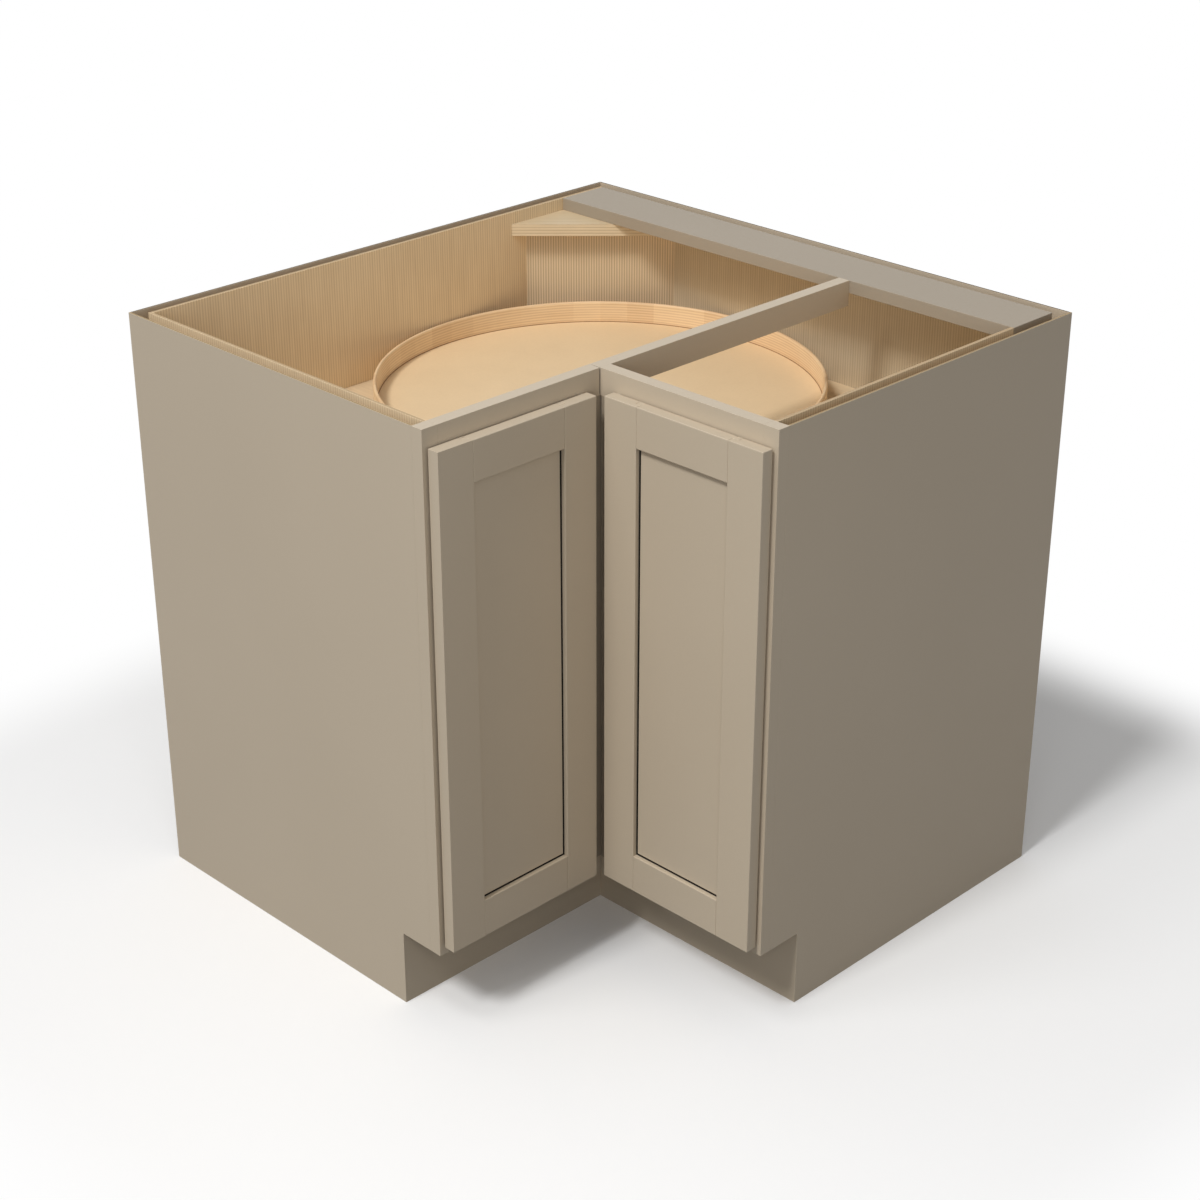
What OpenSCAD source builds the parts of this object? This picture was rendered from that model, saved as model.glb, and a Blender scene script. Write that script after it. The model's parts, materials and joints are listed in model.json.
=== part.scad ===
// Corner base cabinet with two revolving round trays, and a door on each side of its notch.
// The origin is on the floor, under the middle of the square that the cabinet stands in.
// The room's corner is at +X +Y, and the notch that the doors stand in opens at -X -Y.
// The left wing faces -Y and the right wing faces -X. The two are mirror images across the line x = y.

/* [Cabinet] */
// Length of each of the two back walls, outside
cab_w = 914.4; // [880:0.1:960]
// Depth of each wing from the wall to the front of the face frame
wing_depth = 609.6; // [595:0.1:622]
// Height of the cabinet without a worktop
cab_h = 876.3; // [850:0.1:920]
// Height of the toe space
toe_h = 114.3; // [90:0.1:125]
// Depth of the toe space behind the face frame's front
toe_d = 76.2; // [50:0.1:90]
// Thickness of the toe boards
toe_t = 12.7; // [9:0.1:19]

/* [Walls] */
// Thickness of the painted outside skins
skin_t = 3.2; // [2.5:0.1:6]
// Thickness of the packing strips between skin and lining
pack_t = 15.9; // [12:0.1:19]
// Width of the packing strips
pack_w = 38; // [25:1:60]
// Drop of the packing strips below the cabinet's top
pack_drop = 25; // [20:1:40]
// Gap between the ends of the packing strips, and between those of the cleats
strip_gap = 0.5; // [0.3:0.1:2]
// Thickness of the maple lining panels
liner_t = 4.8; // [3:0.1:6.4]

/* [Face frame] */
// Thickness of the face frame and of the stretcher
frame_t = 19.05; // [16:0.05:22]
// Width of the outer stiles
stile_w = 25.4; // [24.4:0.1:27]
// Height of the top rails and of the stretcher
top_rail_h = 38.1; // [32:0.1:50]
// Height of the bottom rails above the cabinet's floor
rail_lip = 7.9; // [6:0.1:8.1]
// Width of the corner stiles on each side of the notch
post_w = 38.1; // [38:0.1:42]

/* [Back corner] */
// Width of the flat nailer board
nailer_w = 88.9; // [70:0.1:110]
// Thickness of the nailer board
nailer_t = 19.05; // [16:0.05:22]
// Length of the corner block along each wall
block_leg = 196; // [180:1:215]
// Thickness of the corner block
block_t = 19.05; // [16:0.05:22]
// Length that the diagonal panel cuts off each back wall
diag_leg = 165; // [140:1:175]
// Thickness of the diagonal panel
diag_t = 6.4; // [4:0.1:9]

/* [Floor and shelf] */
// Thickness of the cabinet floor
floor_t = 15.9; // [12:0.1:19]
// Thickness of the fixed shelf
shelf_t = 15.9; // [12:0.1:19]
// Gap between the fixed shelf and the walls
shelf_fit = 0.5; // [0.3:0.1:1]
// Distance of the fixed shelf's front edge behind the face frame
shelf_setback = 12.7; // [5:0.1:20]
// Thickness of the cleats
cleat_t = 19.05; // [12:0.05:25]
// Height of the cleats
cleat_h = 38.1; // [25:0.1:50]

/* [Doors] */
// Thickness of the doors
door_t = 18; // [17.5:0.1:20]
// Gap between the doors and the face frame
door_gap = 3.2; // [3:0.1:4]
// Distance of the doors' outer edges from the cabinet's sides
door_reveal = 6.35; // [5:0.05:8]
// Height of the frame that shows above the doors
door_top_reveal = 25.4; // [20:0.1:30]
// Height of the frame that shows below the doors
door_low_reveal = 12.7; // [8:0.1:16]
// Distance of the doors' inner edges from the planes of the notch
door_corner = 27.9; // [23:0.1:28]
// Width of the doors' stiles and rails
door_rail_w = 57.15; // [50:0.05:65]
// Depth of the doors' panels below the face
door_recess = 9.5; // [6:0.1:9.6]
// Thickness of the doors' panels
door_panel_t = 6.35; // [4:0.05:6.4]
// Depth of the groove that holds the panels
groove_d = 9.5; // [6:0.1:12]
// Play of the panels and tenons in their groove
groove_fit = 0.3; // [0.1:0.05:0.4]
// Diameter of the bumpers
bumper_d = 8; // [6:0.5:9]
// Distance of the bumpers from the doors' edges
bumper_in = 6; // [5:0.1:6.5]

/* [Hinges] */
// Diameter of the hinge cups
cup_d = 35; // [34.6:0.1:35.4]
// Depth of the hinge cups
cup_depth = 13; // [12.8:0.1:13.3]
// Distance of the cups' bores from the door's outer edge
cup_edge = 3; // [2.8:0.1:3.3]
// Wall of the hinge cups
cup_wall = 1; // [0.8:0.05:1.1]
// Play of the cups in their bores
cup_fit = 0.05; // [0.02:0.01:0.1]
// Thickness of the cups' flange
flange_t = 1; // [0.6:0.1:1.2]
// Length of the cups' flange
flange_l = 58; // [52:1:64]
// Width of the cups' flange
flange_w = 24; // [20:1:26]
// Radius of the hinge pins
pin_r = 1.4; // [1.2:0.05:1.5]
// Running clearance of the arms on the pins
pin_fit = 0.05; // [0.02:0.01:0.1]
// Radius of the arms' eyes
eye_r = 2.3; // [2:0.05:2.4]
// Gap between the eyes and the inside of the cups
eye_gap = 0.3; // [0.25:0.01:0.4]
// Thickness of the lugs that hold the pin in the cup
lug_t = 3; // [2:0.1:3.1]
// Thickness of the arms' neck that lies along the floor of the cup
neck_t = 1.7; // [1.4:0.05:1.8]
// Distance from the pin to the arms' leg that passes the stile
leg_in = 14; // [13.5:0.1:15]
// Thickness of the arms' leg
leg_t = 2.5; // [2:0.1:3]
// Length of the hinge arms behind the face frame
arm_l = 62; // [55:1:70]
// Height of the hinge arms
arm_h = 9; // [8:0.1:9.5]
// Thickness of the mounting plates
plate_t = 2; // [1.6:0.1:2.4]
// Length of the mounting plates
plate_l = 40; // [34:1:44]
// Spacing of the mounting plates' screw holes
plate_holes = 32; // [28:1:36]
// Radius of the mounting plates' screw holes
screw_r = 2.2; // [1.8:0.1:2.6]
// Distance of the hinges from the door's ends
hinge_end = 90; // [80:1:110]

/* [Carousel] */
// Distance of the upper tray's floor below the top of the cabinet
tray_drop = 176.3; // [165:0.1:200]
// Gap between the turning trays and the walls and corner stiles
tray_clear = 2.5; // [2:0.1:6]
// Thickness of the trays' floors
disc_t = 12.7; // [9:0.1:16]
// Thickness of the trays' hoops
hoop_t = 4.8; // [3:0.1:7]
// Height of the hoops above the trays' floors
rim_h = 33; // [20:1:45]
// Gap between floor and hoop
tray_fit = 0.1; // [0.05:0.05:0.3]
// Height of the swivel bearings
bearing_h = 9.5; // [9:0.1:12]
// Radius of the ball track
track_r = 135; // [100:1:150]
// Width of the bearing's rings
ring_w = 15; // [12:0.5:20]
// Gap under the moving ring and over the fixed ring
ring_gap = 1.2; // [0.8:0.1:1.5]
// Gap between the two rings
ring_split = 0.8; // [0.5:0.1:1.2]
// Radius of the balls
ball_r = 2.6; // [2.2:0.1:2.8]
// Clearance of the balls in their track
ball_fit = 0.3; // [0.25:0.05:0.4]
// Number of balls in each bearing
ball_count = 24; // [12:1:36]

/* [Hidden] */
$fn = 96;
// How far a cut runs past the faces that it opens.
cut = 1;
half = cab_w / 2;
front = half - wing_depth;
frame_in = front + frame_t;
toe_face = front + toe_d;
toe_in = toe_face + toe_t;
skin_in = half - skin_t;
liner_out = skin_in - pack_t;
liner_in = liner_out - liner_t;

nailer_front = liner_out - nailer_w;
nailer_z = cab_h - nailer_t;
block_z = nailer_z - block_t;
diag_start = liner_in - diag_leg;
diag_back = diag_start + diag_t * sqrt(2);

floor_z = toe_h + floor_t;
lip_z = floor_z + rail_lip;
tray_top = cab_h - tray_drop;
shelf_z = tray_top - disc_t - bearing_h;
shelf_front = frame_in + shelf_setback;
rail_z = cab_h - top_rail_h;

door_back = front - door_gap;
door_face = door_back - door_t;
door_outer = -half + door_reveal;
door_inner = front - door_corner;
door_z0 = toe_h + door_low_reveal;
door_z1 = cab_h - door_top_reveal;
panel_face = door_face + door_recess;
panel_back = panel_face + door_panel_t;
tongue = groove_d - groove_fit;

cup_in_r = cup_d / 2 - cup_fit - cup_wall;
cup_x = door_outer + cup_edge + cup_d / 2;
cup_floor = door_back - cup_depth;
// The pin stands as near to the cup's outer wall and floor as the arm's eye lets it.
pin_x = cup_x - sqrt(pow(cup_in_r, 2) - pow(arm_h / 2, 2)) + eye_r + eye_gap;
pin_y = cup_floor + cup_wall + eye_r + eye_gap;
lug_in = arm_h / 2 + eye_gap;
pin_half = lug_in + lug_t;
arm_x = -liner_in + plate_t;
leg_x = pin_x + leg_in;
hinge_heights = [door_z0 + hinge_end, door_z1 - hinge_end];

// The trays are the largest that turn between the back walls and the corner stiles.
// Their centre lies on x = y, as far from the walls as from the stiles' inner corner.
tray_at = (liner_in + sqrt(2) * frame_in) / (1 + sqrt(2));
tray_r = liner_in - tray_at - tray_clear;
disc_r = tray_r - hoop_t - tray_fit;
tray_floors = [floor_z + bearing_h + disc_t, tray_top];

taupe = [0.66, 0.61, 0.53];
maple = [0.85, 0.73, 0.56];
ply = [0.78, 0.66, 0.48];
steel = [0.75, 0.76, 0.78];
rubber = [0.85, 0.85, 0.83];

// ---- helpers ----

// A block between two opposite corners.
module block(low, high) {
    translate(low) cube(high - low);
}

// What is drawn for the left wing, turned over to the right wing.
module right() {
    mirror([1, -1, 0]) children();
}

// The same on both wings.
module both() {
    children();
    right() children();
}

// A plate between x0 and x1 with its outline given in y and z.
module side_plate(x0, x1, outline) {
    translate([x0, 0, 0])
        rotate([90, 0, 90])
            linear_extrude(x1 - x0) polygon(outline);
}

// A level panel with its outline given in x and y.
module level(z0, z1, outline) {
    translate([0, 0, z0]) linear_extrude(z1 - z0) polygon(outline);
}

// The outline of an end wall: its front steps back at the toe space.
function end_outline(toe, back, top) = [
    [frame_in, toe_h], [frame_in, top], [back, top], [back, 0], [toe, 0], [toe, toe_h]];

// ---- outside walls, drawn for the left wing ----

module end_skin() {
    color(taupe) side_plate(-half, -skin_in, end_outline(toe_face, half, cab_h));
}

module back_skin() {
    color(taupe)
        level(0, cab_h, [[-skin_in, half], [half, half], [skin_in, skin_in], [-skin_in, skin_in]]);
}

// Strips between the skin and the side panel: uprights at the front, back and toe board, and
// level ones at the floor, the toe space, the shelf's cleats and the top.
module end_packing() {
    top = cab_h - pack_drop;
    cleat_top = shelf_z - shelf_t;
    y0 = frame_in + pack_w;
    y1 = liner_out - pack_w;
    gap = strip_gap;
    for (s = [
        [frame_in, toe_h, y0, top],
        [y1, 0, liner_out, top],
        [toe_in, 0, y1 - gap, pack_w],
        [toe_in, pack_w + gap, toe_in + pack_w, toe_h - gap],
        [y0 + gap, toe_h, toe_in + pack_w, toe_h + pack_w],
        [y0 + gap, cleat_top - pack_w, y1 - gap, cleat_top],
        [y0 + gap, top - pack_w, y1 - gap, top]])
        color(ply) block([-skin_in, s[0], s[1]], [-liner_out, s[2], s[3]]);
}

// The left ones run through the back corner and the right ones stop at it.
module back_packing(end) {
    top = cab_h - pack_drop;
    cleat_top = shelf_z - shelf_t;
    x0 = -skin_in + pack_w;
    x1 = end - pack_w;
    gap = strip_gap;
    for (s = [
        [-skin_in, 0, x0, top],
        [x1, 0, end, top],
        [x0 + gap, 0, x1 - gap, pack_w],
        [x0 + gap, cleat_top - pack_w, x1 - gap, cleat_top],
        [x0 + gap, top - pack_w, x1 - gap, top]])
        color(ply) block([s[0], liner_out, s[1]], [s[2], skin_in, s[3]]);
}

module left_side_panel() {
    color(maple) side_plate(-liner_out, -liner_in, end_outline(toe_in, liner_out, cab_h));
}

// The nailer passes over this one, so its back top corner is cut out.
module right_side_panel() {
    color(maple) right() difference() {
        side_plate(-liner_out, -liner_in, end_outline(toe_in, liner_out, cab_h));
        block([-liner_out - cut, nailer_front, nailer_z], [-liner_in + cut, liner_out + cut, cab_h + cut]);
    }
}

module left_back_panel() {
    color(maple) block([-liner_in, liner_in, 0], [liner_out, liner_out, cab_h]);
}

module right_back_panel() {
    color(maple) right() block([-liner_in, liner_in, 0], [liner_in, liner_out, nailer_z]);
}

// ---- back corner and top ----

module diagonal_panel() {
    color(maple) level(floor_z, block_z, [[diag_start, liner_in], [liner_in, diag_start],
        [liner_in, diag_back], [diag_back, liner_in]]);
}

module corner_block() {
    color(maple) level(block_z, nailer_z, [[liner_in - block_leg, liner_in],
        [liner_in, liner_in - block_leg], [liner_in, liner_in]]);
}

module nailer() {
    color(taupe) block([nailer_front, -liner_out, nailer_z], [liner_out, liner_in, cab_h]);
}

module stretcher() {
    color(taupe) block([front, front, rail_z], [nailer_front, frame_in, cab_h]);
}

// ---- floor and shelf ----

module cabinet_floor() {
    color(maple) level(toe_h, floor_z, [[-liner_in, frame_in], [frame_in, frame_in],
        [frame_in, -liner_in], [liner_in, -liner_in], [liner_in, liner_in], [-liner_in, liner_in]]);
}

// Its back corner is cut off along the diagonal panel.
module fixed_shelf() {
    wall = liner_in - shelf_fit;
    corner = diag_start - shelf_fit;
    color(maple) level(shelf_z - shelf_t, shelf_z, [[-wall, shelf_front], [shelf_front, shelf_front],
        [shelf_front, -wall], [wall, -wall], [wall, corner], [corner, wall], [-wall, wall]]);
}

// Two strips under a panel on one wing: one on the side panel and one on the back panel.
module wing_cleats(top, y0, x1) {
    wall = liner_in - cleat_t;
    block([-liner_in, y0, top - cleat_h], [-wall, wall - strip_gap, top]);
    block([-liner_in, wall, top - cleat_h], [x1, liner_in, top]);
}

module floor_cleats() {
    color(ply) both() wing_cleats(toe_h, toe_in, liner_in - cleat_t - strip_gap);
}

module shelf_cleats() {
    top = shelf_z - shelf_t;
    color(ply) both() wing_cleats(top, shelf_front, diag_start - shelf_fit);
}

// ---- face frame and toe boards, drawn for the left wing ----

module outer_stile() {
    color(taupe) block([-half, front, toe_h], [-half + stile_w, frame_in, cab_h]);
}

module top_rail() {
    color(taupe) block([-half + stile_w, front, rail_z], [front, frame_in, cab_h]);
}

// Of the next three, the left one runs through the notch corner and the right one stops at it.
module bottom_rail(end) {
    color(taupe) block([-half + stile_w, front, toe_h], [end, frame_in, lip_z]);
}

module corner_stile(end) {
    color(taupe) block([front - post_w, front, lip_z], [end, frame_in, rail_z]);
}

module toe_board(end) {
    color(taupe) block([-skin_in, toe_face, 0], [end, toe_in, toe_h]);
}

// ---- doors, drawn for the left wing ----

// A slot as thick as the door's panel, from the low to the high corner in x and z.
module groove(x0, z0, x1, z1) {
    block([x0, panel_face, z0], [x1, panel_back, z1]);
}

// The outer stile also has the bores that the hinge cups sit in.
module door_outer_stile() {
    edge = door_outer + door_rail_w;
    color(taupe) difference() {
        block([door_outer, door_face, door_z0], [edge, door_back, door_z1]);
        groove(edge - groove_d, door_z0 - cut, edge + cut, door_z1 + cut);
        for (z = hinge_heights)
            translate([cup_x, cup_floor, z]) rotate([-90, 0, 0]) cylinder(h=cup_depth + cut, d=cup_d);
    }
}

module door_inner_stile() {
    edge = door_inner - door_rail_w;
    color(taupe) difference() {
        block([edge, door_face, door_z0], [door_inner, door_back, door_z1]);
        groove(edge - cut, door_z0 - cut, edge + groove_d, door_z1 + cut);
    }
}

// A rail with a stub tenon at each end, and a groove along the edge that faces the panel.
module door_rail(z0, z1, groove_z0, groove_z1) {
    x0 = door_outer + door_rail_w;
    x1 = door_inner - door_rail_w;
    color(taupe) difference() {
        union() {
            block([x0, door_face, z0], [x1, door_back, z1]);
            block([x0 - tongue, panel_face, z0], [x1 + tongue, panel_back, z1]);
        }
        groove(x0 - groove_d - cut, groove_z0, x1 + groove_d + cut, groove_z1);
    }
}

module door_top_rail() {
    low = door_z1 - door_rail_w;
    door_rail(low, door_z1, low - cut, low + groove_d);
}

module door_bottom_rail() {
    high = door_z0 + door_rail_w;
    door_rail(door_z0, high, high - groove_d, high + cut);
}

module door_panel() {
    inset = door_rail_w - tongue;
    color(taupe) block([door_outer + inset, panel_face, door_z0 + inset],
        [door_inner - inset, panel_back, door_z1 - inset]);
}

// Two soft buttons on the back of a door, near the ends of its inner edge.
module door_bumpers() {
    for (z = [door_z0 + bumper_in, door_z1 - bumper_in])
        color(rubber) translate([door_inner - bumper_in, front, z])
            rotate([90, 0, 0]) cylinder(h=door_gap, d=bumper_d);
}

// ---- hinges, drawn for the left wing ----

// A cup let into the back of the door, with a flange that lies on it and two lugs for the pin.
module hinge_cups() {
    for (z = hinge_heights) color(steel) difference() {
        union() {
            difference() {
                translate([cup_x, 0, z]) rotate([-90, 0, 0]) union() {
                    translate([0, 0, cup_floor]) cylinder(h=cup_depth, r=cup_in_r + cup_wall);
                    translate([0, 0, door_back]) linear_extrude(flange_t) flange();
                }
                translate([cup_x, cup_floor + cup_wall, z]) rotate([-90, 0, 0])
                    cylinder(h=cup_depth + flange_t, r=cup_in_r);
            }
            for (side = [-1, 1]) cup_lug(z + side * (lug_in + lug_t / 2));
        }
        translate([pin_x, pin_y, z - pin_half]) cylinder(h=2 * pin_half, r=pin_r + pin_fit / 2);
    }
}

// A lug at height z, between the pin and the cup's wall and floor.
module cup_lug(z) {
    block([pin_x - eye_r, cup_floor, z - lug_t / 2], [pin_x + eye_r, pin_y + eye_r, z + lug_t / 2]);
}

// Round plate with an ear above and below the cup.
module flange() {
    circle(d=cup_d);
    square([flange_w, flange_l], center=true);
}

module hinge_pins() {
    for (z = hinge_heights)
        color(steel) translate([pin_x, pin_y, z - pin_half]) cylinder(h=2 * pin_half, r=pin_r);
}

// Swan-neck arm: an eye on the pin, a neck along the floor of the cup, a leg that passes the
// stile, and a body on the mounting plate. The door's edge swings into the bend of the neck.
module hinge_arms() {
    low = pin_y - eye_r;
    end = frame_in + arm_l;
    outline = [[pin_x, low], [leg_x + leg_t, low], [leg_x + leg_t, end], [arm_x, end],
        [arm_x, frame_in], [leg_x, frame_in], [leg_x, low + neck_t], [pin_x, low + neck_t]];
    for (z = hinge_heights) color(steel) translate([0, 0, z - arm_h / 2]) difference() {
        union() {
            level(0, arm_h, outline);
            translate([pin_x, pin_y, 0]) cylinder(h=arm_h, r=eye_r);
        }
        translate([pin_x, pin_y, -cut]) cylinder(h=arm_h + 2 * cut, r=pin_r + pin_fit);
    }
}

// Plate on the side panel, with a rounded ear and a screw hole above and below the arm.
module hinge_plates() {
    ear = plate_l / 4;
    for (z = hinge_heights)
        color(steel) translate([-liner_in, frame_in + arm_l - plate_l / 2, z]) rotate([0, 90, 0])
            linear_extrude(plate_t) difference() {
                union() {
                    square([2 * arm_h, plate_l], center=true);
                    square([plate_holes, 2 * ear], center=true);
                    for (side = [-1, 1]) translate([side * plate_holes / 2, 0]) circle(r=ear);
                }
                for (side = [-1, 1]) translate([side * plate_holes / 2, 0]) circle(r=screw_r);
            }
}

// ---- carousel ----

module tray_floor(top) {
    color(maple) translate([tray_at, tray_at, top - disc_t]) cylinder(h=disc_t, r=disc_r, $fn=180);
}

// Bent hoop round the tray's floor, with a rounded top edge.
module tray_hoop(top) {
    color(maple) translate([tray_at, tray_at, top - disc_t]) rotate_extrude($fn=180)
        translate([tray_r - hoop_t, 0]) union() {
            square([hoop_t, disc_t + rim_h - hoop_t / 2]);
            translate([hoop_t / 2, disc_t + rim_h - hoop_t / 2]) circle(d=hoop_t, $fn=48);
        }
}

// One ring of a swivel bearing, with half of the ball track in its wall.
module ring(seat, r0, r1, z0, z1) {
    color(steel) translate([tray_at, tray_at, seat]) rotate_extrude($fn=180) difference() {
        translate([r0, z0]) square([r1 - r0, z1 - z0]);
        translate([track_r, bearing_h / 2]) circle(r=ball_r + ball_fit, $fn=48);
    }
}

module fixed_ring(seat) {
    ring(seat, track_r - ring_split / 2 - ring_w, track_r - ring_split / 2, 0, bearing_h - ring_gap);
}

module moving_ring(seat) {
    ring(seat, track_r + ring_split / 2, track_r + ring_split / 2 + ring_w, ring_gap, bearing_h);
}

module balls(seat) {
    color(steel) translate([tray_at, tray_at, seat + bearing_h / 2])
        for (i = [0 : ball_count - 1])
            rotate([0, 0, i * 360 / ball_count]) translate([track_r, 0, 0]) sphere(r=ball_r, $fn=32);
}

// ---- the nodes ----

end_skin();  // left_end_skin
right() end_skin();  // right_end_skin
back_skin();  // left_back_skin
right() back_skin();  // right_back_skin
end_packing();  // left_end_packing
right() end_packing();  // right_end_packing
back_packing(skin_in);  // left_back_packing
right() back_packing(liner_out);  // right_back_packing
left_side_panel();
right_side_panel();
left_back_panel();
right_back_panel();
diagonal_panel();
corner_block();
nailer();
stretcher();
cabinet_floor();
floor_cleats();
fixed_shelf();
shelf_cleats();
outer_stile();  // left_outer_stile
right() outer_stile();  // right_outer_stile
top_rail();  // left_top_rail
right() top_rail();  // right_top_rail
bottom_rail(frame_in);  // left_bottom_rail
right() bottom_rail(front);  // right_bottom_rail
corner_stile(frame_in);  // left_corner_stile
right() corner_stile(front);  // right_corner_stile
toe_board(toe_in);  // left_toe_board
right() toe_board(toe_face);  // right_toe_board
both() hinge_plates();
both() hinge_arms();
door_outer_stile();  // left_door_outer_stile
door_inner_stile();  // left_door_inner_stile
door_top_rail();  // left_door_top_rail
door_bottom_rail();  // left_door_bottom_rail
door_panel();  // left_door_panel
door_bumpers();  // left_door_bumpers
hinge_cups();  // left_hinge_cups
hinge_pins();  // left_hinge_pins
right() door_outer_stile();  // right_door_outer_stile
right() door_inner_stile();  // right_door_inner_stile
right() door_top_rail();  // right_door_top_rail
right() door_bottom_rail();  // right_door_bottom_rail
right() door_panel();  // right_door_panel
right() door_bumpers();  // right_door_bumpers
right() hinge_cups();  // right_hinge_cups
right() hinge_pins();  // right_hinge_pins
tray_floor(tray_floors[1]);  // upper_tray_floor
tray_hoop(tray_floors[1]);  // upper_tray_hoop
tray_floor(tray_floors[0]);  // lower_tray_floor
tray_hoop(tray_floors[0]);  // lower_tray_hoop
fixed_ring(shelf_z);  // upper_fixed_ring
moving_ring(shelf_z);  // upper_moving_ring
balls(shelf_z);  // upper_balls
fixed_ring(floor_z);  // lower_fixed_ring
moving_ring(floor_z);  // lower_moving_ring
balls(floor_z);  // lower_balls
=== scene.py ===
# %% [markdown]
# # A corner carousel cabinet
#
# The cabinet stands in the corner of a kitchen. Seen from above it is an L: two wings meet at
# the back corner, and a door hangs on each side of the notch in front. It has no worktop yet,
# so one looks down through the open top at a round tray that turns inside.
# The solid parts are already made to size. This notebook dresses them: camera, light, a painted
# finish, maple with a grain that runs as it would in each board, and eased edges.

# %% Load the solid parts
import json
import math

import bmesh
import bpy
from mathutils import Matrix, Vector

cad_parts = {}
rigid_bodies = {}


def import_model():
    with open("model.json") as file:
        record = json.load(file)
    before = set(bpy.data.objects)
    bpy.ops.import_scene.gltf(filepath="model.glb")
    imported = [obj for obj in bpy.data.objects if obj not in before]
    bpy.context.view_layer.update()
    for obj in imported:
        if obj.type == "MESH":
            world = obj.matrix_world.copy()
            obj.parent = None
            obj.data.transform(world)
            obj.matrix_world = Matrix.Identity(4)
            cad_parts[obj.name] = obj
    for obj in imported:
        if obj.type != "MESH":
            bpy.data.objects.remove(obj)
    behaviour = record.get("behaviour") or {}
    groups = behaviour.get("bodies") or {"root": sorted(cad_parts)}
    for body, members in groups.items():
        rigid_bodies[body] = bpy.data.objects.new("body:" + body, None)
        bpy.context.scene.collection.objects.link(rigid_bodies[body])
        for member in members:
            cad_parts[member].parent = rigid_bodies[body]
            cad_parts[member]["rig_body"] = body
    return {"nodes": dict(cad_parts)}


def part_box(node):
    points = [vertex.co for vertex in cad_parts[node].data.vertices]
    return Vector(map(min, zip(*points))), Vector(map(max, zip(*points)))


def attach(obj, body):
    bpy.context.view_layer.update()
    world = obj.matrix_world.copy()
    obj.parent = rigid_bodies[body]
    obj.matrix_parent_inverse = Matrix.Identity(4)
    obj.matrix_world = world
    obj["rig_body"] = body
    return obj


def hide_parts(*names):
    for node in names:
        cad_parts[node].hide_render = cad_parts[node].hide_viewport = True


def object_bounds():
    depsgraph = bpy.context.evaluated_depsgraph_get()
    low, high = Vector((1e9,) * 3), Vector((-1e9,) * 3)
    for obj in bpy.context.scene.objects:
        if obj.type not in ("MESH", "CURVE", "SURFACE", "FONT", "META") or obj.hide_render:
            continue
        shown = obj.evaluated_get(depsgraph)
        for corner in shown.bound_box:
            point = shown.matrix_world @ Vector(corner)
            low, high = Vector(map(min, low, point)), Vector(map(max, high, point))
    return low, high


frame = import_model()
cabinet_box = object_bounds()
parts = frame["nodes"]
print(len(parts), "parts; the cabinet's box is", cabinet_box)

# %% [markdown]
# ## Camera
#
# The picture is taken from in front of the notch, on the line that cuts the cabinet into two
# equal wings, and from above, so that the inside shows. A lens of 70 mm on a 36 mm wide frame
# keeps the upright edges nearly parallel. Its place comes from fitting the corners of a standard
# corner cabinet, 914.4 mm along each wall, to the picture. The upright edges converge a little
# downwards, because the camera looks down and is hardly shifted.

# %% Camera
lens = bpy.data.cameras.new("photo_lens")
lens.sensor_fit = "HORIZONTAL"
lens.sensor_width = 36
lens.lens = 69.70
lens.shift_x = -0.0003
lens.shift_y = -0.0031
lens.clip_end = 50
camera = bpy.data.objects.new("photo_camera", lens)
camera.location = (-2.1442, -2.1442, 1.9199)
camera.rotation_euler = (math.radians(64.044), 0, math.radians(-45))
bpy.context.scene.collection.objects.link(camera)
bpy.context.scene.camera = camera
bpy.context.scene.view_settings.view_transform = "Standard"
print("camera at", tuple(camera.location))

# %% [markdown]
# ## A short way to write shader nodes
#
# A finish is a small network of nodes. Blender can build it in the shader editor by hand, or a
# script can add each node and wire it up. The helper adds one node and sets its inputs: a plain
# value goes into the input itself, and an output of another node is linked to it.

# %% Node helper
def put(tree, kind, settings=None, **inputs):
    """Adds a node. Inputs named i0, i1 and so on go by number, and the others by name."""
    made = tree.nodes.new("ShaderNode" + kind)
    for name, value in (settings or {}).items():
        setattr(made, name, value)
    for name, value in inputs.items():
        key = int(name[1:]) if name[0] == "i" and name[1:].isdigit() else name.replace("_", " ")
        if isinstance(value, bpy.types.NodeSocket):
            tree.links.new(value, made.inputs[key])
        else:
            made.inputs[key].default_value = value
    return made


def math_node(tree, operation, *values):
    settings = {"operation": operation}
    return put(tree, "Math", settings, **{f"i{n}": v for n, v in enumerate(values)}).outputs[0]


def blend_tones(tree, share, low, high):
    """The colour low where share is 0 and high where it is 1."""
    mixed = put(tree, "Mix", {"data_type": "RGBA"}, i0=share, i6=(*low, 1), i7=(*high, 1))
    return mixed.outputs[2]


def new_finish(name):
    """An empty material, its node tree and where its points lie on the part, in metres."""
    finish = bpy.data.materials.new(name)
    finish.use_nodes = True
    finish.node_tree.nodes.clear()
    place = put(finish.node_tree, "TexCoord").outputs["Object"]
    return finish, finish.node_tree, place


def end_finish(tree, surface):
    put(tree, "OutputMaterial", Surface=surface)


print("node helpers are ready")

# %% [markdown]
# ## White studio, floor and light
#
# The picture is a studio picture on white. A white room could be lit until it burns out, but that
# would bleach the paint as well. Instead the world is white only to the camera and in reflections,
# and lights everything else with a soft grey. The floor is a pale matt sheet that keeps the
# cabinet's shadow, and throws less light back up than it seems to, as the floor of a large studio.
# Some way from the cabinet it passes into the white of the background, as a paper sweep does.

# %% World and floor
def seen_directly(tree):
    """1 for rays of the camera, of reflections and through glass, and 0 for all others."""
    path = put(tree, "LightPath")
    either = math_node(tree, "MAXIMUM", path.outputs["Is Camera Ray"],
                       path.outputs["Is Glossy Ray"])
    return math_node(tree, "MAXIMUM", either, path.outputs["Is Transmission Ray"])


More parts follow.
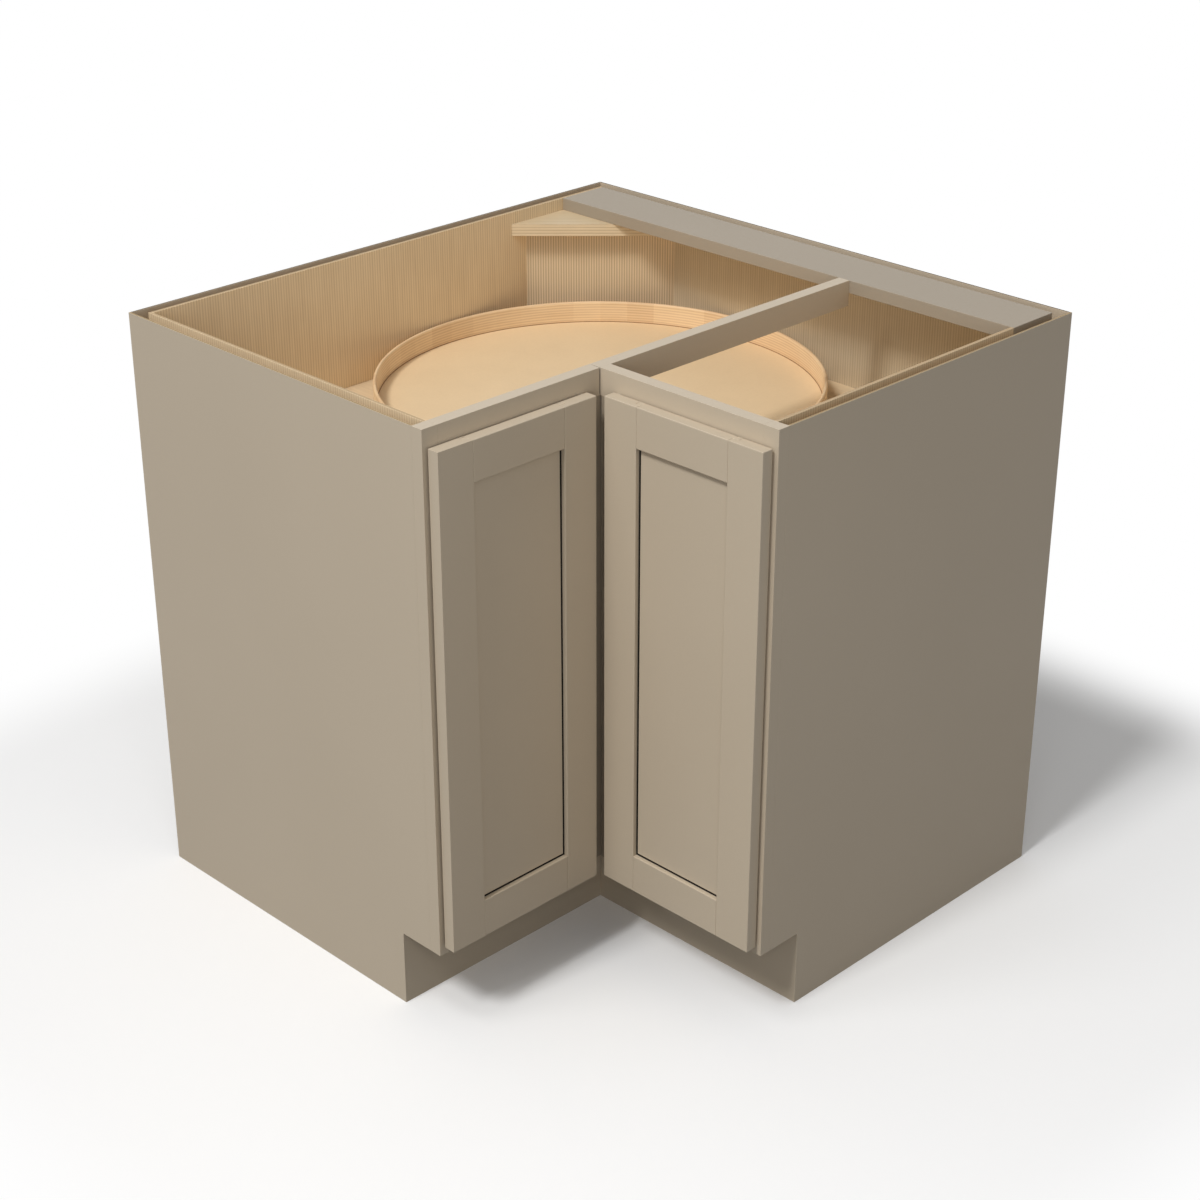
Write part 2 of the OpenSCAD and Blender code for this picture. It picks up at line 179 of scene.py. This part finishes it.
def light_studio(grey):
    """A soft grey room that is white where it is seen directly."""
    world = bpy.data.worlds.new("studio")
    bpy.context.scene.world = world
    world.use_nodes = True
    tree = world.node_tree
    tree.nodes.clear()
    soft = put(tree, "Background", Color=(1, 1, 1, 1), Strength=grey)
    white = put(tree, "Background", Color=(1, 1, 1, 1), Strength=1.0)
    both = put(tree, "MixShader", i0=seen_directly(tree), i1=soft.outputs[0], i2=white.outputs[0])
    put(tree, "OutputWorld", Surface=both.outputs[0])


def away_from_cabinet(tree, place, start, end):
    """0 up to start metres from the cabinet's square on the floor, and 1 from end on."""
    reach = put(tree, "VectorMath", {"operation": "ABSOLUTE"}, i0=place)
    past = put(tree, "VectorMath", {"operation": "SUBTRACT"}, i0=reach.outputs[0],
               i1=(cabinet_box[1].x, cabinet_box[1].y, 0))
    past = put(tree, "VectorMath", {"operation": "MAXIMUM"}, i0=past.outputs[0], i1=(0, 0, 0))
    gap = put(tree, "VectorMath", {"operation": "LENGTH"}, i0=past.outputs[0]).outputs[1]
    return put(tree, "MapRange", {"interpolation_type": "SMOOTHSTEP"}, Value=gap,
               i1=start, i2=end, i3=0.0, i4=1.0).outputs[0]


def lay_floor(size, paleness, bounce, fade):
    """A sheet size metres to each side, which turns white between the two fade distances."""
    mesh = bpy.data.meshes.new("studio_floor")
    mesh.from_pydata([(-size, -size, 0), (size, -size, 0), (size, size, 0), (-size, size, 0)],
                     [], [(0, 1, 2, 3)])
    floor = bpy.data.objects.new("studio_floor", mesh)
    bpy.context.scene.collection.objects.link(floor)
    finish, tree, place = new_finish("studio_floor")
    sheet = put(tree, "BsdfDiffuse", Color=(paleness, paleness, paleness, 1), Roughness=0.0)
    white = put(tree, "Emission", Color=(1, 1, 1, 1), Strength=1.0)
    shown = put(tree, "MixShader", i0=away_from_cabinet(tree, place, *fade),
                i1=sheet.outputs[0], i2=white.outputs[0])
    thrown = put(tree, "BsdfDiffuse", Color=(bounce, bounce, bounce, 1), Roughness=0.0)
    both = put(tree, "MixShader", i0=seen_directly(tree), i1=thrown.outputs[0],
               i2=shown.outputs[0])
    end_finish(tree, both.outputs[0])
    mesh.materials.append(finish)


light_studio(grey=0.375)
lay_floor(size=30.0, paleness=0.98, bounce=0.08, fade=(0.42, 0.69))
print("white studio with a pale floor")

# %% [markdown]
# ## Lamps
#
# The shadow to the right of the cabinet tells where the strongest lamp stands: high up, beyond the
# end of the left wing. It is a sun lamp: it shines evenly, and its angle sets how soft its shadows
# are. The paint is a little brighter at the top of the walls than at their foot, and the wood
# inside is brighter on the left, so a part of the light comes from a lamp near by, above the left
# wing. A weak one in front lifts the two doors.

# %% Lamps
def hang(name, lamp, place):
    stand = bpy.data.objects.new(name, lamp)
    stand.location = place
    bpy.context.scene.collection.objects.link(stand)
    return stand


def far_lamp(name, height, round_to, strength, spread):
    """A lamp far away: its height, its turn from +X and its width, all in degrees."""
    lamp = bpy.data.lights.new(name, "SUN")
    lamp.energy = strength * math.pi
    lamp.angle = math.radians(spread)
    up, turn = math.radians(height), math.radians(round_to)
    towards = Vector((math.cos(up) * math.cos(turn), math.cos(up) * math.sin(turn), math.sin(up)))
    hang(name, lamp, (0, 0, 3)).rotation_euler = towards.to_track_quat("Z", "Y").to_euler()


def near_lamp(name, place, watts, radius=0.35):
    """A round lamp that stands close to the cabinet."""
    lamp = bpy.data.lights.new(name, "POINT")
    lamp.energy = watts
    lamp.shadow_soft_size = radius
    hang(name, lamp, place)


far_lamp("left_lamp", height=54, round_to=181, strength=0.50, spread=12)
near_lamp("wing_lamp", (-1.4, 0.1, 2.75), watts=40)
near_lamp("door_lamp", (-1.45, -1.55, 1.15), watts=21)
print("three lamps")

# %% [markdown]
# ## Satin paint
#
# The outside is painted in a warm grey-brown. Sprayed paint is even, but not perfectly: its tone
# drifts a little over a hand's breadth, and close up the film has a fine orange peel. Two noise
# textures give the tone, and a third gives a bump a millimetre or two wide. The sheen is
# satin, so the roughness lies near the middle.

# %% Painted finish
paint_dark = (0.545, 0.457, 0.342)
paint_pale = (0.601, 0.506, 0.383)
coat_shine = 0.35


def satin_paint(name, dark, pale, sheen=0.42):
    finish, tree, place = new_finish(name)
    drift = put(tree, "TexNoise", Vector=place, Scale=3.1, Detail=2.0, Roughness=0.5)
    mist = put(tree, "TexNoise", Vector=place, Scale=240.0, Detail=2.0, Roughness=0.6)
    share = math_node(tree, "ADD", math_node(tree, "MULTIPLY", drift.outputs[0], 0.7),
                      math_node(tree, "MULTIPLY", mist.outputs[0], 0.3))
    peel = put(tree, "TexNoise", Vector=place, Scale=620.0, Detail=3.0, Roughness=0.55)
    skin = put(tree, "Bump", Height=peel.outputs[0], Strength=0.12, Distance=0.0004)
    gloss = put(tree, "MapRange", Value=mist.outputs[0], i1=0.3, i2=0.7, i3=sheen, i4=sheen + 0.06)
    shader = put(tree, "BsdfPrincipled", Base_Color=blend_tones(tree, share, dark, pale),
                 Roughness=gloss.outputs[0], Normal=skin.outputs[0])
    shader.inputs["Specular IOR Level"].default_value = coat_shine
    end_finish(tree, shader.outputs[0])
    return finish


taupe_paint = satin_paint("taupe_paint", paint_dark, paint_pale)
print("made", taupe_paint.name)

# %% [markdown]
# ## Maple
#
# The inside is lined with thin maple board under a clear satin lacquer. Its fine grain lines run
# up the walls, a few millimetres apart, like pinstripes. They could be painted as a picture, but a
# sine wave whose phase is bent by a stretched noise gives the same lines at any distance.
# The direction across the grain differs from board to board, so it is an argument: the position
# along it drives the lines, and the position along the grain only bends them slowly.

# %% Maple finish
maple_dark = (0.580, 0.432, 0.262)
maple_pale = (0.850, 0.690, 0.468)
grain_stretch = 0.035


def along(tree, place, direction):
    """How far a point lies along a direction, in metres."""
    return put(tree, "VectorMath", {"operation": "DOT_PRODUCT"}, i0=place, i1=direction).outputs[1]


def maple(name, across, grain, pitch=0.0046, depth=1.0, dark=maple_dark, pale=maple_pale,
          sheen=0.48):
    """Board whose grain runs along grain, with lines every pitch metres across it."""
    finish, tree, place = new_finish(name)
    u, v = along(tree, place, across), along(tree, place, grain)
    third = along(tree, place, Vector(across).cross(Vector(grain)))
    point = put(tree, "CombineXYZ", X=u, Y=math_node(tree, "MULTIPLY", v, grain_stretch),
                Z=third)
    bend = put(tree, "TexNoise", Vector=point.outputs[0], Scale=45.0, Detail=3.0, Roughness=0.6)
    turns = math_node(tree, "MULTIPLY", u, 2 * math.pi / pitch)
    wander = math_node(tree, "MULTIPLY", bend.outputs[0], 3.0)
    lines = math_node(tree, "SINE", math_node(tree, "ADD", turns, wander))
    streak = put(tree, "TexNoise", Vector=point.outputs[0], Scale=260.0, Detail=3.0,
                 Roughness=0.65)
    cloud = put(tree, "TexNoise", Vector=place, Scale=7.0, Detail=3.0, Roughness=0.6)
    share = math_node(tree, "ADD", math_node(tree, "MULTIPLY", lines, 0.25 * depth),
                      math_node(tree, "MULTIPLY", streak.outputs[0], 0.6))
    share = math_node(tree, "ADD", share, math_node(tree, "MULTIPLY", cloud.outputs[0], 0.4))
    pores = put(tree, "Bump", Height=streak.outputs[0], Strength=0.10, Distance=0.0003)
    shader = put(tree, "BsdfPrincipled", Base_Color=blend_tones(tree, share, dark, pale),
                 Normal=pores.outputs[0])
    shader.inputs["Roughness"].default_value = sheen
    shader.inputs["Specular IOR Level"].default_value = coat_shine
    end_finish(tree, shader.outputs[0])
    return finish


X, Y, Z = (1, 0, 0), (0, 1, 0), (0, 0, 1)
slant = (math.sqrt(0.5), -math.sqrt(0.5), 0)
maple_along_x = maple("maple_along_x", across=X, grain=Z)
maple_along_y = maple("maple_along_y", across=Y, grain=Z)
# The next two are painted light and painted shade: a paler maple for the left back panel, a darker
# one for the right back panel.
maple_painted_light = maple("maple_painted_light", across=X, grain=Z, dark=(0.650, 0.484, 0.290),
                  pale=(0.950, 0.772, 0.518))
maple_painted_shade = maple("maple_painted_shade", across=Y, grain=Z, dark=(0.470, 0.362, 0.228),
                     pale=(0.700, 0.585, 0.410))
# The diagonal panel's darker maple is painted shade.
maple_slant_painted_shade = maple("maple_slant_painted_shade", across=slant, grain=Z, pitch=0.0040, depth=2.0,
                    dark=(0.525, 0.395, 0.247), pale=(0.792, 0.640, 0.434))
maple_block = maple("maple_block", across=Z, grain=slant, pitch=0.0048, depth=1.3,
                    dark=(0.570, 0.435, 0.265), pale=(0.840, 0.695, 0.480))
maple_sheet = maple("maple_sheet", across=X, grain=Y, pitch=0.011, depth=0.12)
# The sawn tops' darker maple is painted shade, so that the lit top edges don't show as light
# lines.
maple_top_painted_shade = maple("maple_top_edge_painted_shade", across=(slant[0], slant[0], 0), grain=Z, pitch=0.0060,
                   depth=0.4, dark=(0.430, 0.300, 0.165), pale=(0.560, 0.410, 0.240), sheen=0.6)
print("made the maple finishes")

# %% [markdown]
# ## The trays' maple
#
# A tray is a round floor with a thin strip of maple bent round it as a rim. The strip's grain runs
# round the tray, so its lines are level. Its tone also changes in upright bands, 48 in a full
# turn:
# painted light and shade, as flat facets would catch it. A thin brown line shows where the floor
# meets the rim.
# Both need the place relative to the tray's own axis: the angle round it gives the bands, the
# distance from it the edge of the floor, and the height above the floor the lines of the rim.

# %% Tray finishes
tray_low, tray_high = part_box("upper_tray_hoop")
tray_axis = (tray_low + tray_high) / 2
floor_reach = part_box("upper_tray_floor")[1].x - tray_axis.x
seam_brown = (0.300, 0.130, 0.045)
seam_width = 0.0014
seam_cover = 0.8
rim_shaded_flats = 48
rim_line_pitch = 0.0042


def round_place(tree, place):
    """The angle round the trays' axis, the distance from it, and the height."""
    centre = put(tree, "VectorMath", {"operation": "SUBTRACT"}, i0=place,
                 i1=(tray_axis.x, tray_axis.y, 0))
    axes = put(tree, "SeparateXYZ", Vector=centre.outputs[0])
    x, y = axes.outputs[0], axes.outputs[1]
    reach = math_node(tree, "SQRT", math_node(tree, "ADD", math_node(tree, "MULTIPLY", x, x),
                                              math_node(tree, "MULTIPLY", y, y)))
    return math_node(tree, "ARCTAN2", y, x), reach, axes.outputs[2]


def near(tree, value, target, reach):
    """1 where value lies within reach of target, fading to 0."""
    gap = math_node(tree, "ABSOLUTE", math_node(tree, "SUBTRACT", value, target))
    return put(tree, "MapRange", Value=gap, i1=reach * 0.5, i2=reach, i3=1.0, i4=0.0).outputs[0]


def with_seam_line(tree, wood, value, target):
    """The wood's tone, with a thin brown line where value is near target."""
    cover = math_node(tree, "MULTIPLY", near(tree, value, target, seam_width), seam_cover)
    return put(tree, "Mix", {"data_type": "RGBA"}, i0=cover, i6=wood,
               i7=(*seam_brown, 1)).outputs[2]


def rim_maple(name, floor_height):
    finish, tree, place = new_finish(name)
    angle, reach, height = round_place(tree, place)
    # Each of the 48 flats gets its own lighter or darker tone: painted light and shade of facets.
    flat = math_node(tree, "FLOOR", math_node(tree, "MULTIPLY", angle, rim_shaded_flats / (2 * math.pi)))
    flat_shade = put(tree, "TexWhiteNoise", {"noise_dimensions": "1D"}, W=flat)
    point = put(tree, "CombineXYZ", X=math_node(tree, "MULTIPLY", angle, 0.05), Y=reach, Z=height)
    bend = put(tree, "TexNoise", Vector=point.outputs[0], Scale=60.0, Detail=3.0, Roughness=0.6)
    turns = math_node(tree, "MULTIPLY", height, 2 * math.pi / rim_line_pitch)
    wander = math_node(tree, "MULTIPLY", bend.outputs[0], 4.0)
    lines = math_node(tree, "SINE", math_node(tree, "ADD", turns, wander))
    share = math_node(tree, "ADD", math_node(tree, "MULTIPLY", lines, 0.30),
                      math_node(tree, "MULTIPLY", flat_shade.outputs[0], 0.34))
    share = math_node(tree, "ADD", share, math_node(tree, "MULTIPLY", bend.outputs[0], 0.66))
    wood = blend_tones(tree, share, (0.735, 0.497, 0.280), (0.985, 0.750, 0.470))
    wood = with_seam_line(tree, wood, height, floor_height)
    shader = put(tree, "BsdfPrincipled", Base_Color=wood)
    shader.inputs["Roughness"].default_value = 0.45
    shader.inputs["Specular IOR Level"].default_value = coat_shine
    end_finish(tree, shader.outputs[0])
    return finish


def tray_floor_maple(name):
    finish, tree, place = new_finish(name)
    reach = round_place(tree, place)[1]
    cloud = put(tree, "TexNoise", Vector=place, Scale=16.0, Detail=4.0, Roughness=0.6)
    fleck = put(tree, "TexNoise", Vector=place, Scale=210.0, Detail=3.0, Roughness=0.6)
    share = math_node(tree, "ADD", math_node(tree, "MULTIPLY", cloud.outputs[0], 0.6),
                      math_node(tree, "MULTIPLY", fleck.outputs[0], 0.5))
    wood = blend_tones(tree, share, (0.750, 0.555, 0.334), (0.865, 0.661, 0.412))
    wood = with_seam_line(tree, wood, reach, floor_reach)
    film = put(tree, "Bump", Height=fleck.outputs[0], Strength=0.06, Distance=0.0003)
    shader = put(tree, "BsdfPrincipled", Base_Color=wood, Normal=film.outputs[0])
    shader.inputs["Roughness"].default_value = 0.42
    shader.inputs["Specular IOR Level"].default_value = coat_shine
    end_finish(tree, shader.outputs[0])
    return finish


upper_rim = rim_maple("maple_upper_rim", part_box("upper_tray_floor")[1].z)
lower_rim = rim_maple("maple_lower_rim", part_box("lower_tray_floor")[1].z)
tray_maple = tray_floor_maple("maple_tray_floor")
print("trays turn about", tuple(round(c, 4) for c in tray_axis[:2]))

# %% [markdown]
# ## Raw wood, zinc and soft plastic
#
# Strips that nobody sees are raw softwood with a coarse grain. The hinges and the bearings' rings
# are pressed from steel and plated with zinc, which gives a bright grey with a faint brushed
# streak. The door bumpers are small buttons of milky soft plastic.

# %% Small finishes
softwood = maple("raw_softwood", across=X, grain=Z, pitch=0.006,
                 dark=(0.430, 0.290, 0.160), pale=(0.620, 0.460, 0.290), sheen=0.8)


def zinc_steel(name):
    finish, tree, place = new_finish(name)
    stretched = put(tree, "VectorMath", {"operation": "MULTIPLY"}, i0=place, i1=(1.0, 1.0, 14.0))
    brush = put(tree, "TexNoise", Vector=stretched.outputs[0], Scale=170.0, Detail=3.0)
    cloud = put(tree, "TexNoise", Vector=place, Scale=90.0, Detail=2.0)
    tone = blend_tones(tree, cloud.outputs[0], (0.54, 0.54, 0.56), (0.70, 0.70, 0.71))
    gloss = put(tree, "MapRange", Value=brush.outputs[0], i1=0.3, i2=0.7, i3=0.26, i4=0.40)
    shader = put(tree, "BsdfPrincipled", Base_Color=tone, Roughness=gloss.outputs[0])
    shader.inputs["Metallic"].default_value = 1.0
    end_finish(tree, shader.outputs[0])
    return finish


def milky_plastic(name):
    finish, tree, place = new_finish(name)
    cloud = put(tree, "TexNoise", Vector=place, Scale=300.0, Detail=2.0)
    tone = blend_tones(tree, cloud.outputs[0], (0.70, 0.70, 0.67), (0.80, 0.80, 0.77))
    shader = put(tree, "BsdfPrincipled", Base_Color=tone)
    shader.inputs["Roughness"].default_value = 0.35
    end_finish(tree, shader.outputs[0])
    return finish


# The two stiles in the notch get this darker paint: painted shade for the dark gap between the
# doors.
notch_painted_shade = satin_paint("notch_painted_shade", (0.360, 0.300, 0.224), (0.410, 0.344, 0.259))
# The nailer's darker paint is painted shade.
nailer_painted_shade = satin_paint("nailer_painted_shade", (0.338, 0.284, 0.215), (0.386, 0.325, 0.248))
raw_edge = satin_paint("raw_board_edge", (0.105, 0.070, 0.034), (0.150, 0.105, 0.055), sheen=0.7)
pale_edge = satin_paint("pale_board_edge", (0.350, 0.245, 0.125), (0.430, 0.310, 0.170), sheen=0.7)
# A near-black painted shade, for the channel round the doors' panels and the cut in the notch.
channel_painted_shade = satin_paint("near_black_painted_shade", (0.022, 0.017, 0.012), (0.034, 0.027, 0.019), sheen=0.8)
zinc = zinc_steel("zinc_steel")
bumper_plastic = milky_plastic("bumper_plastic")
print("made the small finishes")

# %% [markdown]
# ## Eased edges
#
# A sawn board has sharp edges, but a cabinet maker sands them lightly before the paint goes on.
# The rounding is a fraction of a millimetre on most boards, and 1.4 mm on the doors' frames. It
# catches the light, and where two pieces meet in one plane it leaves the fine line that shows each
# joint of the doors' frames.
# A bump can't do this, because it doesn't change the outline, so each board is copied, its
# triangles are merged to whole faces, and every sharp edge is bevelled. The copy takes the
# solid part's place, is never larger than it, and rides on the same body.

# %% Boards with eased edges
sharp_corner = math.radians(30)
same_place = 1e-5
top_reach = 1e-4
door_ease = 0.0014
weld_reach = 2e-6
flat_corner = math.radians(1)


def whole_faces(name):
    """The form of a solid part, with its triangles merged to whole faces."""
    form = bmesh.new()
    form.from_mesh(parts[name].data)
    bmesh.ops.remove_doubles(form, verts=form.verts, dist=weld_reach)
    bmesh.ops.dissolve_limit(form, angle_limit=flat_corner, verts=form.verts, edges=form.edges)
    return form


def finish_board(name, form, finish, ease, second_finish=None):
    """Bevels a form's sharp edges and puts it in a solid part's place."""
    sharp = [e for e in form.edges
             if len(e.link_faces) == 2 and e.calc_face_angle(0) > sharp_corner]
    if ease:
        bmesh.ops.bevel(form, geom=sharp, offset=ease, offset_type="OFFSET", segments=2,
                        profile=0.5, affect="EDGES", clamp_overlap=True)
    mesh = bpy.data.meshes.new(name + "_eased")
    form.to_mesh(mesh)
    form.free()
    mesh.materials.append(finish)
    if second_finish:
        mesh.materials.append(second_finish)
    board = bpy.data.objects.new(name + "_eased", mesh)
    bpy.context.scene.collection.objects.link(board)
    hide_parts(name)
    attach(board, parts[name]["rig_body"])
    return board


def eased_board(name, finish, ease, top_finish=None):
    """A solid board with eased edges, and with a finish of its own on its top if one is given."""
    form = whole_faces(name)
    if top_finish:
        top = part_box(name)[1].z
        for face in form.faces:
            face.material_index = int(face.calc_center_median().z > top - top_reach)
    return finish_board(name, form, finish, ease, top_finish)


door_frames = [n for n in parts if "_door_" in n and ("stile" in n or "rail" in n)]
for name in door_frames:
    eased_board(name, taupe_paint, door_ease)
print(len(door_frames), "pieces of the doors' frames with eased edges")

# %% [markdown]
# ## Walls and face frame
#
# The walls, the toe boards and the face frame have sharper edges: their joints hardly show. The
# thin skins are painted on their faces only, so a fine line of raw board runs along their top:
# dark brown at the back, and pale at the two ends.
# Two tones here are painted shade, matched to the picture under these lamps, and are not the
# boards' own. The nailer's paint is darker than the rest, as painted shade. So is the paint of the
# two stiles in the notch, because the gap between the doors is darker in the picture than these
# lamps leave it.

# %% Walls and face frame
wall_ease = 0.00025
nailer_ease = 0.0008
corner_pieces = ("left_top_rail", "right_corner_stile", "right_bottom_rail")
walls = [n for n in parts if n.endswith("_skin") or "toe_board" in n or n == "stretcher"
         or ("stile" in n or "rail" in n) and "_door_" not in n and n not in corner_pieces]
top_edges = {"left_back_skin": raw_edge, "right_back_skin": raw_edge,
             "left_end_skin": pale_edge, "right_end_skin": pale_edge}
for name in walls:
    # The left stile in the notch takes the darker paint, which is painted shade.
    paint = notch_painted_shade if name == "left_corner_stile" else taupe_paint
    eased_board(name, paint, wall_ease, top_finish=top_edges.get(name))
# The nailer takes the darker paint, which is painted shade.
eased_board("nailer", nailer_painted_shade, nailer_ease)
print(len(walls) + 1, "boards of the walls and the face frame")

# %% [markdown]
# ## The joint in the notch
#
# The two halves of the face frame meet in the notch's inner corner. In the picture a dark upright
# line runs down there, from the top between the doors to the toe space, as if the end of one half
# were cut a hair off square, so that the joint gapes at the front and is tight at the back.
# Here the ends are pulled back by 1.8 mm at the face and 0.3 mm behind, and the cut faces get a
# near-black painted shade.

# %% Ends cut off square
def cut_end(form, axis, depth_axis, gape=0.0018, tight=0.0003):
    """Pulls the end at the high side of axis back, more at the face than behind it."""
    end = max(v.co[axis] for v in form.verts) - same_place
    front = min(v.co[depth_axis] for v in form.verts) + same_place
    for face in form.faces:
        # The cut end faces take the second finish, the near-black painted shade.
        face.material_index = int(all(v.co[axis] > end for v in face.verts))
    for v in form.verts:
        if v.co[axis] > end:
            v.co[axis] -= gape if v.co[depth_axis] < front else tight


for name, axis, depth_axis in (("left_top_rail", 0, 1), ("right_corner_stile", 1, 0),
                               ("right_bottom_rail", 1, 0)):
    form = whole_faces(name)
    cut_end(form, axis, depth_axis)
    # The right stile in the notch takes the darker paint, which is painted shade.
    paint = notch_painted_shade if "stile" in name else taupe_paint
    finish_board(name, form, paint, wall_ease, channel_painted_shade)
print("three ends cut for the joint in the notch")

# %% [markdown]
# ## The doors' panels
#
# Each door's panel sits in the grooves of its frame. In the picture a fine dark line runs round
# it, and it lies less deep than the solid panel does. So here its field stands 3.1 mm proud of
# the edge that goes into the groove, and between field and frame a narrow dark channel is free.
# The panel is drawn as rings of four corners, from the edge in the groove to the field: each ring
# says how far in from the edge it lies, and how far it stands in front of the solid panel's face.
# The rings between the first rise and the field's side are the channel, and get a near-black
# painted shade.

# %% Panels with a channel round the field
field_lift = 0.0031
field_chamfer = 0.0004
channel_lip = 0.0002
channel_width = 0.0026
channel_rings = range(2, 7)


def channelled_panel(name, beside):
    """A door's panel with a channel round its field, next to the stile named beside."""
    low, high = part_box(name)
    thin = 0 if high.x - low.x < high.y - low.y else 1
    wide = 1 - thin
    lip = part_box(beside)[1][wide] - low[wide] + channel_lip / 2
    wall = lip + channel_lip
    side = wall + channel_width
    rings = [(0, 0), (lip, 0), (lip, field_lift), (wall, field_lift), (wall, 0), (side, 0),
             (side, field_lift - field_chamfer), (side + field_chamfer, field_lift)]
    form = bmesh.new()

    def ring(inset, front):
        corners = []
        for w, z in ((0, 0), (1, 0), (1, 1), (0, 1)):
            spot = Vector((0, 0, 0))
            spot[thin] = front
            spot[wide] = high[wide] - inset if w else low[wide] + inset
            spot.z = high.z - inset if z else low.z + inset
            corners.append(form.verts.new(spot))
        return corners

    loops = [ring(0, high[thin])] + [ring(inset, low[thin] - lift) for inset, lift in rings]
    form.faces.new(loops[0])
    form.faces.new(loops[-1])
    for n, (outer, inner) in enumerate(zip(loops, loops[1:])):
        for i in range(4):
            j = (i + 1) % 4
            face = form.faces.new((outer[i], outer[j], inner[j], inner[i]))
            # The channel's faces take the second finish, the near-black painted shade.
            face.material_index = int(n in channel_rings)
    bmesh.ops.recalc_face_normals(form, faces=form.faces)
    return form


for side in ("left", "right"):
    form = channelled_panel(side + "_door_panel", side + "_door_outer_stile")
    finish_board(side + "_door_panel", form, taupe_paint, 0, channel_painted_shade)
print("two panels with a channel round the field")

# %% [markdown]
# ## Maple boards
#
# The lining panels are only a few millimetres thick and hardly rounded. Each takes the maple whose
# lines run up it, and the corner block the one whose lines are level. The left back panel gets a
# paler tone, which is painted light, and the right back panel and the diagonal one darker tones,
# which are painted shade. They are matched to the picture under these lamps, and are not the
# boards' own. Along the panels' sawn tops the wood is darker too, as painted shade.

# %% Maple boards
lining_ease = 0.0004
lining = {"left_side_panel": maple_along_y, "right_side_panel": maple_along_x,
          "left_back_panel": maple_painted_light, "right_back_panel": maple_painted_shade,
          "diagonal_panel": maple_slant_painted_shade, "corner_block": maple_block}
for name, finish in lining.items():
    # The tops of the side and back panels take the darker maple of painted shade.
    top = maple_top_painted_shade if name.endswith(("side_panel", "back_panel")) else None
    eased_board(name, finish, lining_ease, top_finish=top)
print(len(lining), "maple boards with eased edges")

# %% [markdown]
# ## The trays' rims
#
# A rim is a strip bent to a hoop, and its top edge is rounded over, so that hands and jars slide
# along it. The solid part's rounding is made of long thin triangles that catch the light like
# saw teeth. A curve with a bevel could replace it, but the strip's outline is easy to write down:
# up the outside, over the rounding in a half circle, and down the inside. It is carried round the
# trays' axis in even steps, and shaded smooth where it is round.

# %% Rims with a rounded top edge
rim_facets = 180
rounding_steps = 10
rim_play = 0.0001
round_limit = math.radians(40)


def bent_rim(name):
    """A hoop of the solid one's size, swept round the trays' axis."""
    low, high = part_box(name)
    outside = high.x - tray_axis.x
    wall = outside - floor_reach - rim_play
    outline = [(outside, low.z)]
    for step in range(rounding_steps + 1):
        turn = math.pi * step / rounding_steps
        outline.append((outside - wall / 2 * (1 - math.cos(turn)),
                        high.z - wall / 2 * (1 - math.sin(turn))))
    outline.append((outside - wall, low.z))
    form = bmesh.new()
    cuts = []
    for step in range(rim_facets):
        turn = 2 * math.pi * step / rim_facets
        cuts.append([form.verts.new((tray_axis.x + reach * math.cos(turn),
                                     tray_axis.y + reach * math.sin(turn), z))
                     for reach, z in outline])
    for cut, following in zip(cuts, cuts[1:] + cuts[:1]):
        for i in range(len(outline)):
            j = (i + 1) % len(outline)
            form.faces.new((cut[i], following[i], following[j], cut[j])).smooth = True
    bmesh.ops.recalc_face_normals(form, faces=form.faces)
    return form


for name, finish in (("upper_tray_hoop", upper_rim), ("lower_tray_hoop", lower_rim)):
    rim = finish_board(name, bent_rim(name), finish, 0)
    rim.data.set_sharp_from_angle(angle=round_limit)
print("two rims with a rounded top edge")

# %% [markdown]
# ## The other parts
#
# The remaining parts already have the right shape, so they only get their finish.

# %% Finishes on the solid parts
def dress(name, finish):
    """Puts a finish on a solid part that keeps its shape."""
    mesh = parts[name].data
    mesh.materials.clear()
    mesh.materials.append(finish)


for name in parts:
    if parts[name].hide_render:
        continue
    if name in ("cabinet_floor", "fixed_shelf"):
        dress(name, maple_sheet)
    elif name.endswith("tray_floor"):
        dress(name, tray_maple)
    elif "packing" in name or "cleats" in name:
        dress(name, softwood)
    elif "bumpers" in name:
        dress(name, bumper_plastic)
    else:
        dress(name, zinc)
print("every part has its finish")
